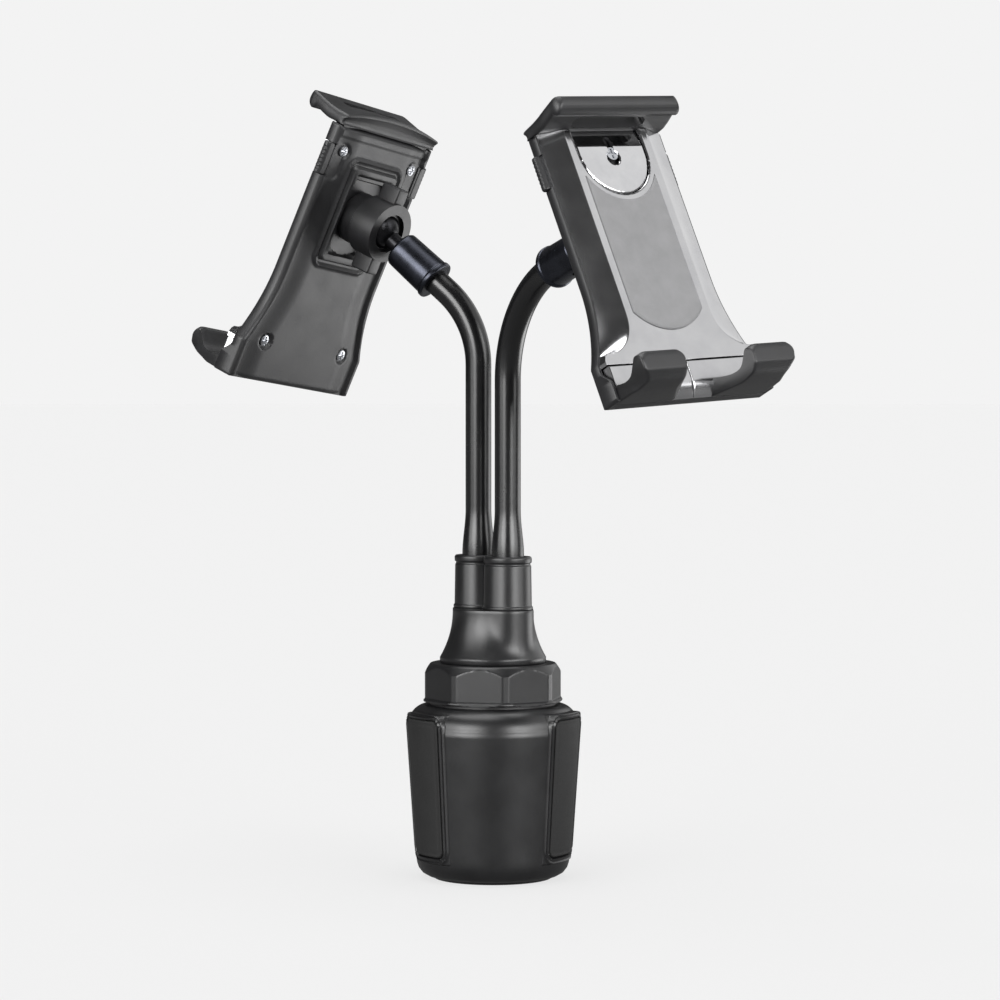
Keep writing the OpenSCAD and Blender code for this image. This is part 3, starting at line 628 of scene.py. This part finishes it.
# The rear shell. Its rear skin is the flat back less the rounded rim and a valley, steep beside the rim, plus
# two beads along a rounded square round the socket, less the screw wells and the button's thumb recess; its
# front skin stands at the rim's height round the edge and drops to the wall's thickness inside it.
def rearShell():
    x, z = cradleGrid(cradle["bottom"], cradle["top"], 0, 0.6, 0.6, 1.2)

    def depthIn(x, z):
        return np.minimum(halfWidth(z) - np.abs(x), np.minimum(z - cradle["bottom"], cradle["top"] - z))

    def rear(x, z):
        side = halfWidth(z) - np.abs(x)
        inside = depthIn(x, z)
        panel = roundBox(x, z, 16.5, 22.5, 4)
        arch = np.maximum(roundBox(x, z + 1.5, 12.2, 16.5, 3), np.hypot(x, z) - 17.2)
        y = cradle["back"] - edgeDrop(inside, 2.0) - valley(side)
        y = y + 0.95 * np.exp(-(panel / 0.75) ** 2) + 1.5 * ramp(-panel, 2.1, 3.0) * ramp(panel, -6.2, -5.2)
        y = y - 2.3 * ramp(-arch, 0, 0.5)
        y = y + 0.45 * ramp(z, 29.6, 30.4) * ramp(side, 1.5, 3) * ramp(-z, -34, -33)
        for sx, sz in cradle["screws"]:
            y = np.minimum(y, cradle["back"] + 0.3 - 1.7 * ramp(3.35 - np.hypot(np.abs(x) - sx, z - sz), -0.35, 0.35)
                + 9 * (np.hypot(np.abs(x) - sx, z - sz) > 3.8))
        thumb = roundBox(np.abs(x) - 25.2, z - 19.75, 4.2, 7.6, 2.6)
        return np.maximum(y - 0.8 * ramp(-thumb, -0.3, 0.5), -14.0)

    def front(x, z):
        inside = depthIn(x, z)
        lip = cradle["rim"] + 0.35 * edgeDrop(inside, 0.6) + 0.35 * edgeDrop(1.5 - inside, 0.5)
        hollow = cradle["back"] - 2.15 - valley(halfWidth(z) - np.abs(x))
        well = ramp(3.6 - np.min([np.hypot(np.abs(x) - sx, z - sz) for sx, sz in cradle["screws"]], axis=0), 0, 0.6)
        hollow = hollow - 0.9 * well
        lip = lip - 4.0 * ramp(-z, 62, 68) * ramp(np.abs(x) - halfWidth(z), -1.8, -1.5)
        return lip + (hollow - lip) * ramp(inside, 1.5, 1.9)

    def cut(x, z):
        return -roundBox(np.abs(x) - 33.6, z - 19.75, 4.7, 6.85, 0.5)

    socket = turnedPart(soften([(9.7, 0.6), (10.6, 0.6), (10.6, 12.9), (4.5, 12.9), (6.4, 7.3), (8.6, 4.4)],
        [0.2, 0.3, 0.3, 0.2, 1, 1], 3, True), 72)
    return [slabPart(x, z, rear, front, facing, cut=cut, cell=0.6), inFrame(socket, towardsPhone)]


# The front plate: flat in the middle, with a sunk wing down each side. The wing starts at the flat's edge, falls
# evenly with a slight sag, and its lower end closes along a quarter ellipse.
def wingStart(z):
    t = np.clip((-41 - z) / 15.5, 0, 1)
    return cradle["flat"] + (halfWidth(z) - cradle["rimWidth"] - cradle["flat"]) * (1 - np.sqrt(1 - t * t))


def frontPlate():
    x, z = cradleGrid(cradle["seam"] + 0.2, cradle["top"], cradle["rimWidth"], 0.6, 0.6)

    def face(x, z):
        edge, start = halfWidth(z) - cradle["rimWidth"], wingStart(z)
        t = np.clip((np.abs(x) - start) / np.maximum(edge - start, 0.3), 0, 1)
        deep = cradle["scoop"] * np.clip((edge - start) / 1.8, 0, 1) ** 0.8
        sink = t + 0.1 * np.sin(math.pi * t)
        return cradle["front"] + deep * sink + 0.2 * edgeDrop(z - cradle["seam"] - 0.2, 0.6)

    def cut(x, z):
        return -tongueLine(x, z, 16.7)

    def ringed(x, z):
        around = tongueLine(x, z, 16.7)
        return face(x, z) + 0.5 * edgeDrop(around, 0.7)

    def back(x, z):
        y = ringed(x, z) + 1.7
        edge = np.minimum(halfWidth(z) - cradle["rimWidth"] - np.abs(x), z - cradle["seam"] - 0.2)
        return np.where(edge < 0.9, np.maximum(y, -17.2), y)

    return slabPart(x, z, back, ringed, facing, cut=cut, cell=0.6)


def greyPad():
    x, z = np.meshgrid(crowded(-16.9, 16.9, 0.55), crowded(-48.5, 16.2, 0.55), indexing="ij")

    def outline(x, z):
        low = np.where(z < -26.5, np.hypot(x, z + 26.5) - 22, -9)
        return np.maximum(np.maximum(np.abs(x) - 16.9, low), 19.2 - np.hypot(x, z - 24.2))

    return slabPart(x, z, lambda x, z: cradle["front"] + 0.05 + 0 * x,
        lambda x, z: cradle["front"] - 0.7 + edgeDrop(-outline(x, z), 0.35), facing, cut=outline, cell=0.5)


# The silver block under the seam, split in the middle; its face falls away below a crease
def trimBlock():
    z = crowded(cradle["bottom"] + 0.25, cradle["seam"] - 0.15, 0.5)
    x0, x1 = 0.2, halfWidth(z) - 1.6
    t = crowded(0, 30, 0.7) / 30
    x = x0 + t[None, :] * (x1 - x0)[:, None]
    z = np.repeat(z[:, None], len(t), 1)

    def face(x, z):
        inside = np.minimum(np.minimum(x - x0, halfWidth(z) - 1.5 - x), np.minimum(z + 74.75, -61.15 - z))
        return cradle["front"] + 3.4 * ramp(-z, 69.0, 78.5) + 0.8 * edgeDrop(inside, 0.45)

    return slabPart(x, z, lambda x, z: -17.9 + 0 * x, face, facing)


# A foot: a ledge that runs out, dips, and turns up into a lip; its section is carried across, and its ends
# are rounded. The lower half runs narrower towards its outer end.
def footBar():
    section = soften([(-21.3, -69.2), (-27.5, -70.5), (-31.8, -69.6), (-34.6, -66.0), (-36.6, -63.0), (-39.0, -63.2),
        (-39.9, -65.0), (-39.4, -70.8), (-36.6, -73.7), (-30, -74.9), (-18.6, -75.0), (-18.6, -69.6)],
        [0.4, 3, 4, 1.6, 1.0, 1.0, 1.0, 0.8, 1.5, 2, 0.4, 0.4], 4, True)
    points, faces = barPart(section, 16.4, 37.6, 1.1, 16)
    x, y, z = points.T
    drop = ramp(-y, 33, 41) * ramp(np.abs(x - 27), 7.6, 10.6)
    z = np.where(z > -69.5, z - 1.6 * drop, z)
    slope = ramp(-z, 68.5, 75) * ramp(-y, 24, 36)
    x = x - 3.2 * slope * ramp(x, 30, 37.6) - 7.5 * ramp(y, -35, -19) ** 1.6 * (1 - ramp(x, 16.4, 32))
    return np.stack([x, y, z], 1), faces


def footRoot():
    return boxPart((16.4, -19.0, -74.9), (37.2, -17.2, -68.5), 0.3)


# The hook's head: two skins, the outer from the rear edge up a hollow back, over a saddle top and down the lip,
# and the inner from the rear edge along the underside to the lip. Both are read off their own lines.
hook = {"outer": [(-12.6, 34.7), (-12.85, 35.4), (-12.75, 36.2), (-12.35, 37.2), (-11.7, 38.1), (-11.3, 38.6),
        (-11.35, 39.0), (-11.8, 39.3), (-13, 39.5), (-15, 39.6), (-18, 39.7), (-21, 40.0), (-22.4, 40.2),
        (-24, 40.5), (-25.4, 40.8), (-27, 41.15), (-28.4, 41.45), (-30, 41.85), (-31.6, 42.2), (-32.8, 42.35),
        (-33.9, 42.1), (-34.6, 41.5), (-34.95, 40.6), (-35, 39.8)],
    "inner": [(-14.2, 34.7), (-15, 34.65), (-16, 34.65), (-17, 34.65), (-18, 34.65), (-18.7, 34.65),
        (-19.3, 34.65), (-19.8, 34.65), (-20.3, 34.65), (-20.9, 34.65), (-21.4, 34.7), (-21.9, 34.75),
        (-22.4, 34.85), (-24, 35.25), (-25.4, 35.6), (-27, 36.1), (-28.4, 36.5), (-29.4, 36.65), (-30.1, 36.0),
        (-30.8, 35.5), (-31.8, 35.4), (-32.9, 35.9), (-34.0, 36.9), (-34.7, 38.2)],
    "windowY": -25.4, "windowHalf": 15, "windowRadius": 2.6}


def hookHead():
    outer, inner = np.array(hook["outer"]), np.array(hook["inner"])
    stations = np.arange(len(outer))
    fine = np.sort(np.concatenate([np.linspace(0, len(outer) - 1, 3 * (len(outer) - 1) + 1),
        np.linspace(12, 17, 21)]))
    fine = np.unique(np.round(fine, 4))
    x, row = np.meshgrid(crowded(-31, 31, 0.6), fine, indexing="ij")

    def reach(y):
        return 31 - 0.6 * ramp(-y, 23.5, 34) - edgeDrop(y + 35.2, 3.6)

    def place(x, row, side):
        line = outer if side.flat[0] > 0 else inner
        y, z = np.interp(row, stations, line[:, 0]), np.interp(row, stations, line[:, 1])
        otherLine = inner if side.flat[0] > 0 else outer
        yo, zo = np.interp(row, stations, otherLine[:, 0]), np.interp(row, stations, otherLine[:, 1])
        level = 1 - (x / 31) ** 2
        if side.flat[0] > 0:
            z = z + (3.4 * level - 0.6) * ramp(z, 35.5, 39.6) * (1 - ramp(-y, 13, 31))
        pinch = 0.42 * edgeDrop(31 - np.abs(x), 1.3) / 1.3
        y, z = y + (yo - y) * pinch, z + (zo - z) * pinch
        return np.stack([x * reach(y) / 31, y, z], -1)

    def cut(x, row):
        y = np.interp(row, stations, outer[:, 0])
        inBand = (row > 11.5) & (row < 17.5)
        capsule = np.hypot(np.maximum(np.abs(x) - hook["windowHalf"], 0), y - hook["windowY"]) - hook["windowRadius"]
        return np.where(inBand, -capsule, -5)

    return slabPart(x, row, lambda a, b: np.ones_like(a), lambda a, b: -np.ones_like(a), place, cut=cut, cell=0.45)


# The hook's stem, with a notch every 4 mm down both edges, and the plate that backs the tongue
def hookStem():
    z = np.concatenate([np.arange(-30, 26, 0.5), [28, 30, 32, 34, 35.4]])
    notch = np.clip(0.9 - np.abs((z + 26) % 4 - 2), 0, None) * (z < 26)
    half = 14.5 - notch
    x = np.linspace(-1, 1, 9)[None, :] * half[:, None]
    z = np.repeat(z[:, None], 9, 1)
    stem = slabPart(x, z, lambda x, z: -14.9 + 0 * x, lambda x, z: -17.3 + 0 * x, facing)
    x, z = np.meshgrid(crowded(-14.5, 14.5, 1.0), crowded(9.7, 35.4, 1.0), indexing="ij")
    plate = slabPart(x, z, lambda x, z: -17.2 + 0 * x, lambda x, z: -19.2 + 0 * x, facing,
        cut=lambda x, z: tongueLine(x, z, 14.5), cell=0.9)
    return [stem, plate]


# The plated tongue: a tab with a half-round end and a keyhole, whose top leans back under the hook
def tongueTab():
    up = np.concatenate([crowded(7.9, 28.4, 0.5), np.linspace(28.8, 34.6, 16)])
    x, z = np.meshgrid(crowded(-16.3, 16.3, 0.5), up, indexing="ij")

    def cut(x, z):
        keyhole = np.minimum(np.hypot(x, z - 22.8) - 2.9,
            np.hypot(x, z - np.clip(z, 23, 30.4)) - 1.25 - 0.35 * (z > 29.6))
        return np.maximum(tongueLine(x, z, 16.3), -keyhole)

    def face(x, z):
        keyhole = np.minimum(np.hypot(x, z - 22.8) - 2.9, np.hypot(x, z - np.clip(z, 23, 30.4)) - 1.25)
        lean = 0.2 * np.clip(z - 27.2, 0, None) * ramp(z, 26.6, 28.6)
        return -21.75 + lean + 0.6 * edgeDrop(-tongueLine(x, z, 16.3), 0.8) + 0.5 * edgeDrop(keyhole, 0.6)

    return slabPart(x, z, lambda x, z: np.minimum(face(x, z) + 1.15, -19.3), face, facing, cut=cut, cell=0.5)


# A button: a ribbed cap that stands out of the shell's side, and its arm to the rack
def buttonCap():
    section = soften([(27.2, -16.7), (31.9, -16.7), (33.2, -16.0), (33.2, -14.2), (31.9, -13.5), (27.2, -13.5)],
        [0.3, 0.5, 0.6, 0.6, 0.5, 0.3], 3, True)
    points, faces = barPart(section, 13.0, 26.5, 0.6, 40)
    rib = 0.16 * np.cos((points[:, 0] - 19.75) * tau / 1.7) * ramp(points[:, 1], 32.6, 33.1)
    rib = rib * (np.abs(points[:, 0] - 19.75) < 5.2)
    cap = np.stack([points[:, 1] + rib, points[:, 2], points[:, 0]], 1), faces
    return [cap, boxPart((16.3, -16.7, 13.5), (27.6, -14.7, 15.9), 0.2)]


# A recessed cross-head: a low dome less a cross that sinks in its middle
def screwHead(x0, z0, r=2.3):
    x, z = np.meshgrid(np.linspace(-r, r, 27), np.linspace(-r, r, 27), indexing="ij")

    def dome(x, z):
        d = np.hypot(x, z)
        ax, az = np.abs(x), np.abs(z)
        cross = np.minimum(np.maximum(ax - 0.42, az - 1.75), np.maximum(az - 0.42, ax - 1.75))
        return -12.95 - 0.07 * d * d - 0.85 * ramp(-cross, -0.05, 0.25) * ramp(2.2 - d, 0, 0.8)

    part = slabPart(x, z, dome, lambda x, z: -13.8 + 0 * x, facing, cut=lambda x, z: np.hypot(x, z) - r, cell=0.2)
    return part[0] + np.array([x0, 0, z0]), part[1]


nutProfile = np.concatenate([soften([(8.0, -6), (9.5, -6), (12.2, -6)], [0, 0, 0]),
    [(12.2, z) for z in np.linspace(-5.8, 5.4, 6)],
    soften([(12.0, 5.6), (10.95, 5.6), (10.95, 0.35), (9.6, 0.35), (9.55, -1.0), (8.9, -3.5), (8.0, -4.2)], 0.2, 2)])
towardsPhone = (np.zeros(3), np.array([[1, 0, 0], [0, 0, -1], [0, 1, 0]]).astype(float))
# Two finger lugs stand out of the nut, above and below
lugs = [boxPart((-3.2, -4.4, 11.4), (3.2, 5.0, 18.2), 0.7), boxPart((-3.2, -4.4, -18.2), (3.2, 5.0, -11.4), 0.7)]


# Frame of a cradle: the ball, and the axes of its swivel, tilt and spin
def cradleFrame(name):
    swivel, tilt, spin = (joints[name + j] for j in ("_ball_swivel", "_ball_tilt", "_cradle_spin"))
    ball = np.array(swivel["pos_m"]) / mm
    return ball, np.stack([tilt["axis"], -np.array(spin["axis"]), swivel["axis"]], 1)


for name in necks:
    at = cradleFrame(name)
    body = name + "_cradle"

    def placed(parts):
        return [inFrame(p, at) for p in parts]

    build(name + "RearShell", placed(rearShell()), "mattAbs", body, [name + "_back_shell"], sharp=50)
    build(name + "FrontPlate", placed([frontPlate()]), "silverPaint", body, [name + "_front_plate"], sharp=40)
    build(name + "GreyPad", placed([greyPad()]), "greySilicone", body, [name + "_grip_pad"])
    build(name + "Trims", placed([trimBlock(), mirrored(trimBlock())]), "silverPaint", body)
    build(name + "FootA", placed([footBar(), footRoot()]), "mattAbs", body, [name + "_foot_a"])
    build(name + "FootB", placed([mirrored(footBar()), mirrored(footRoot())]), "mattAbs", body, [name + "_foot_b"])
    build(name + "ShellScrews", placed([screwHead(s * x, z) for x, z in cradle["screws"] for s in (-1, 1)]),
        "zincSteel", body, [name + "_shell_screws"])
    build(name + "RingNut", placed([inFrame(turnedPart(nutProfile, 96), towardsPhone)] + lugs), "mattAbs",
        name + "_tilt", [name + "_ring_nut"])
    build(name + "Hook", placed([hookHead()] + hookStem()), "mattAbs", name + "_clamp", [name + "_hook"])
    build(name + "Tongue", placed([tongueTab()]), "platedAbs", name + "_clamp", [name + "_tongue"])
    build(name + "ButtonA", placed(buttonCap()), "mattAbs", name + "_button_a", [name + "_button_a"])
    build(name + "ButtonB", placed([mirrored(p) for p in buttonCap()]), "mattAbs", name + "_button_b",
        [name + "_button_b"])
print("cradles ready")

# World, floor and lights
studio = {"background": "#f3f3f3", "ambient": 0.06, "floorGlow": 0.81, "floorFill": 0.12, "floorPaper": "#5c5c5c"}
# name, direction from the object, width in degrees, strength
lights = [
    ("leftSoftbox", (-0.52, -0.82, 0.24), 32, 2.2),
    ("leftSideSoftbox", (-0.84, -0.48, 0.26), 34, 1.2),
    ("rightSoftbox", (0.56, -0.8, 0.2), 30, 2.0),
    ("rightSideSoftbox", (0.86, -0.46, 0.22), 34, 1.1),
    ("rightFill", (0.84, 0.0, 0.54), 50, 0.56),
    ("backRightSoftbox", (0.63, 0.72, 0.29), 44, 0.45),
    ("topSoftbox", (-0.1, 0.05, 0.99), 56, 2.6)]
# One low card, out of the frame to the right, lifts the back of the left cradle
card = {"place": (0.33, 0.19, 0.05), "aim": (-0.075, 0.0, 0.24), "size": 0.3, "power": 0.23, "spread": 70}
scene = bpy.context.scene
scene.view_settings.view_transform = "Standard"
world = bpy.data.worlds.new("studio")
scene.world = world
world.use_nodes = True
world.node_tree.nodes.clear()
seen = addNode(world.node_tree, "ShaderNodeLightPath").outputs["Is Camera Ray"]
strength = addNode(world.node_tree, "ShaderNodeMapRange",
    {"Value": seen, "To Min": studio["ambient"], "To Max": 1.0}).outputs["Result"]
backdrop = addNode(world.node_tree, "ShaderNodeBackground",
    {"Color": linear(studio["background"]), "Strength": strength})
addNode(world.node_tree, "ShaderNodeOutputWorld", {"Surface": backdrop.outputs["Background"]})

# The floor: pale paper that also glows a little, so that it stays as bright as the backdrop
floorMesh = bpy.data.meshes.new("floor")
floorMesh.from_pydata([(-40, -20, 0), (40, -20, 0), (40, 60, 0), (-40, 60, 0)], [], [(0, 1, 2, 3)])
floor = bpy.data.objects.new("floor", floorMesh)
scene.collection.objects.link(floor)
paper = bpy.data.materials.new("floorPaper")
paper.use_nodes = True
paper.node_tree.nodes.clear()
seen = addNode(paper.node_tree, "ShaderNodeLightPath").outputs["Is Camera Ray"]
shine = addNode(paper.node_tree, "ShaderNodeMapRange",
    {"Value": seen, "To Min": studio["floorFill"], "To Max": studio["floorGlow"]}).outputs["Result"]
diffuse = addNode(paper.node_tree, "ShaderNodeBsdfDiffuse", {"Color": linear(studio["floorPaper"])})
glow = addNode(paper.node_tree, "ShaderNodeEmission",
    {"Color": linear(studio["background"]), "Strength": shine})
both = addNode(paper.node_tree, "ShaderNodeAddShader", {0: diffuse.outputs[0], 1: glow.outputs[0]})
addNode(paper.node_tree, "ShaderNodeOutputMaterial", {"Surface": both.outputs[0]})
floorMesh.materials.append(paper)

# Each softbox is a broad far light, so the floor is lit evenly
for name, direction, width, strength in lights:
    data = bpy.data.lights.new(name, "SUN")
    data.angle, data.energy = math.radians(width), strength
    lamp = bpy.data.objects.new(name, data)
    lamp.rotation_euler = Vector(direction).to_track_quat("Z", "Y").to_euler()
    scene.collection.objects.link(lamp)
data = bpy.data.lights.new("lowCard", "AREA")
data.energy, data.shape, data.size = card["power"], "SQUARE", card["size"]
data.spread = math.radians(card["spread"])
lamp = bpy.data.objects.new("lowCard", data)
lamp.location = card["place"]
lamp.rotation_euler = (Vector(card["place"]) - Vector(card["aim"])).to_track_quat("Z", "Y").to_euler()
lamp.visible_camera = False
scene.collection.objects.link(lamp)
print("light ready")

# What stays from the frame
carried = {"acetal": ["jaw_spider", "scroll_cam"],
    "mattAbs": ["left_ball_liner", "right_ball_liner", "knob_washer"],
    "zincSteel": ["body_screws", "post_screw", "left_button_springs", "right_button_springs", "left_tongue_screw",
        "right_tongue_screw"],
    "blackOxide": ["left_core_low", "right_core_low", "left_core_high", "right_core_high", "left_collar_screw",
        "right_collar_screw"]}
for nodeName, node in frame["nodes"].items():
    finishName = next((f for f, n in carried.items() if nodeName in n), "satinAbs")
    node.data.materials.clear()
    node.data.materials.append(finishes[finishName])
